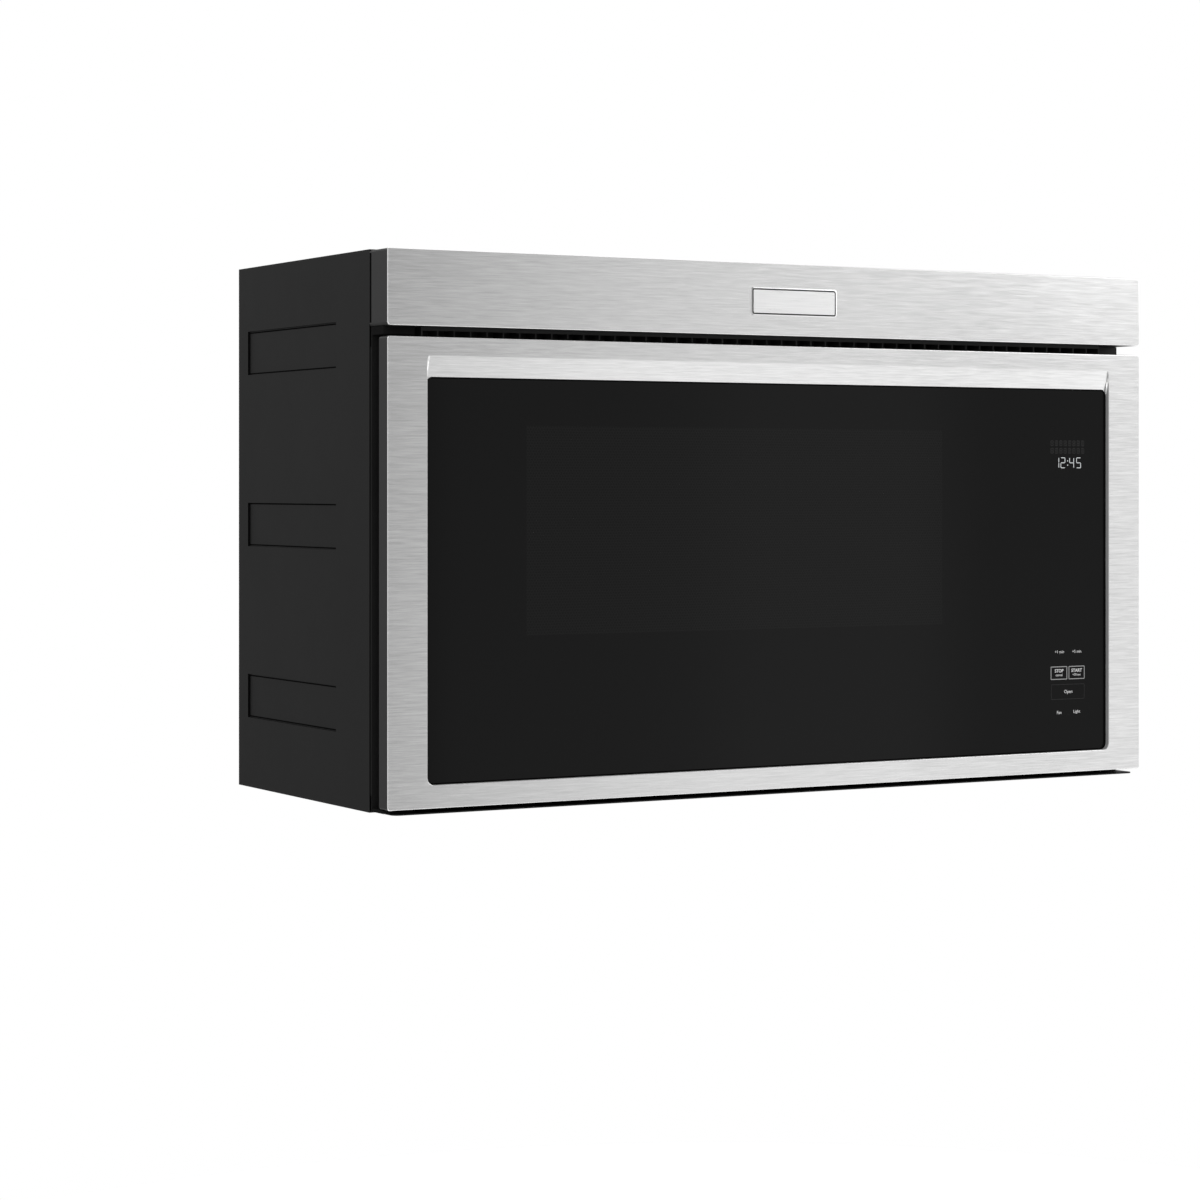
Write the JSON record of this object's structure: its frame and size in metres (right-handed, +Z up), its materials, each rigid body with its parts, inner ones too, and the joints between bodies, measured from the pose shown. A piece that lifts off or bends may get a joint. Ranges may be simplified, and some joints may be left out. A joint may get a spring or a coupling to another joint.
{
  "type": "over the range microwave",
  "caption": "Built-in microwave oven that hangs over a range, with a full-width stainless and black glass door, touch keys in the glass and a vent blower above.",
  "frame": {"origin": "middle of the wall plate's back face at the height of the oven's base", "axes": "+X to the oven's right as seen from the front, +Y into the wall, +Z up; the door faces -Y"},
  "size_m": [0.762, 0.3248, 0.454],
  "materials": {
    "stainless": "fine horizontal brushing",
    "dark_frame": "satin dark grey",
    "case_paint": "satin black paint",
    "plate_steel": "zinc plated",
    "badge_metal": "satin plate",
    "black_glass": "tempered, black printed border, dark window",
    "clear_glass": "clear",
    "black_plastic": "matte black",
    "cavity_enamel": "grey enamel",
    "ceramic": "smooth glass ceramic",
    "bare_steel": "galvanised",
    "aluminium": "mill finish",
    "white_plastic": "natural plastic",
    "switch_plastic": "dark blue housing",
    "board_green": "circuit board green",
    "lens_frost": "frosted",
    "lamp_white": "white housing",
    "charcoal": "charcoal granules in a net"
  },
  "bodies": {
    "housing": {"vent_panel": "stainless", "vent_frame": "dark_frame", "outer_case": "case_paint", "base_pan": "case_paint", "cavity_front_plate": "case_paint", "rear_panel": "case_paint", "wall_plate": "plate_steel", "hinge_bracket_top": "plate_steel", "hinge_bracket_bottom": "plate_steel", "blank_plate": "badge_metal", "exhaust_louvre": "black_plastic", "latch_board": "black_plastic", "blower_housing": "black_plastic", "cord_gland": "black_plastic", "cooling_fan": "black_plastic", "oven_cavity": "cavity_enamel", "ceramic_floor": "ceramic", "waveguide": "bare_steel", "magnetron": "bare_steel", "hv_transformer": "bare_steel", "capacitor_clamp": "bare_steel", "stirrer_motor": "bare_steel", "blower_motor": "bare_steel", "case_screws": "bare_steel", "cabinet_nuts": "bare_steel", "exhaust_collar": "bare_steel", "hv_capacitor": "aluminium", "switch_lower": "switch_plastic", "switch_upper": "switch_plastic", "cavity_lamp": "switch_plastic", "power_board": "board_green", "cooktop_lens_left": "lens_frost", "cooktop_lens_right": "lens_frost", "cooktop_lamp_left": "lamp_white", "cooktop_lamp_right": "lamp_white", "charcoal_filter": "charcoal"},
    "door": {"door_skin": "stainless", "door_frame": "dark_frame", "outer_glass": "black_glass", "inner_glass": "clear_glass", "door_liner": "case_paint", "control_board": "board_green", "hinge_stile": "plate_steel"},
    "latch": {"latch_hooks": "plate_steel"},
    "slider": {"release_slider": "black_plastic"},
    "lower_button": {"switch_button_lower": "white_plastic"},
    "upper_button": {"switch_button_upper": "white_plastic"},
    "stirrer": {"stirrer_antenna": "aluminium", "stirrer_shaft": "white_plastic"},
    "fan_rotor": {"fan_impeller": "black_plastic"},
    "blower_rotor": {"blower_shaft": "bare_steel", "blower_wheel_left": "white_plastic", "blower_wheel_right": "white_plastic"},
    "damper": {"damper_flap": "bare_steel"},
    "left_filter": {"grease_frame_left": "aluminium", "grease_mesh_left": "aluminium"},
    "right_filter": {"grease_frame_right": "aluminium", "grease_mesh_right": "aluminium"}
  },
  "joints": [
    {"name": "door_hinge", "type": "hinge", "parent": "housing", "child": "door", "pos_m": [-0.37, -0.30535, 0.1936], "axis": [0, 0, -1], "range_deg": [0, 95]},
    {"name": "latch_lift", "type": "slide", "parent": "door", "child": "latch", "axis": [0, 0, 1], "range_m": [0, 0.004], "stiffness_N_per_m": 300, "springref_m": -0.003},
    {"name": "release_slide", "type": "slide", "parent": "housing", "child": "slider", "axis": [0, 0, 1], "range_m": [0, 0.004], "stiffness_N_per_m": 150, "springref_m": -0.003},
    {"name": "lower_switch_press", "type": "slide", "parent": "housing", "child": "lower_button", "axis": [0, 0, -1], "range_m": [0, 0.0018], "stiffness_N_per_m": 150, "springref_m": -0.002},
    {"name": "upper_switch_press", "type": "slide", "parent": "housing", "child": "upper_button", "axis": [0, 0, -1], "range_m": [0, 0.0018], "stiffness_N_per_m": 150, "springref_m": -0.002},
    {"name": "stirrer_spin", "type": "hinge", "parent": "housing", "child": "stirrer", "pos_m": [-0.046, -0.17155, 0.06], "axis": [0, 0, 1], "continuous": true},
    {"name": "cooling_fan_spin", "type": "hinge", "parent": "housing", "child": "fan_rotor", "pos_m": [0.2707, -0.10535, 0.138], "axis": [0, 1, 0], "continuous": true},
    {"name": "blower_spin", "type": "hinge", "parent": "housing", "child": "blower_rotor", "pos_m": [0, -0.07085, 0.3922], "axis": [1, 0, 0], "continuous": true},
    {"name": "damper_lift", "type": "hinge", "parent": "housing", "child": "damper", "pos_m": [0, -0.03065, 0.4405], "axis": [-1, 0, 0], "range_deg": [0, 80]},
    {"name": "left_filter_tilt", "type": "hinge", "parent": "housing", "child": "left_filter", "pos_m": [-0.15, -0.03585, 0], "axis": [1, 0, 0], "range_deg": [0, 75]},
    {"name": "right_filter_tilt", "type": "hinge", "parent": "housing", "child": "right_filter", "pos_m": [0.15, -0.03585, 0], "axis": [1, 0, 0], "range_deg": [0, 75]}
  ]
}
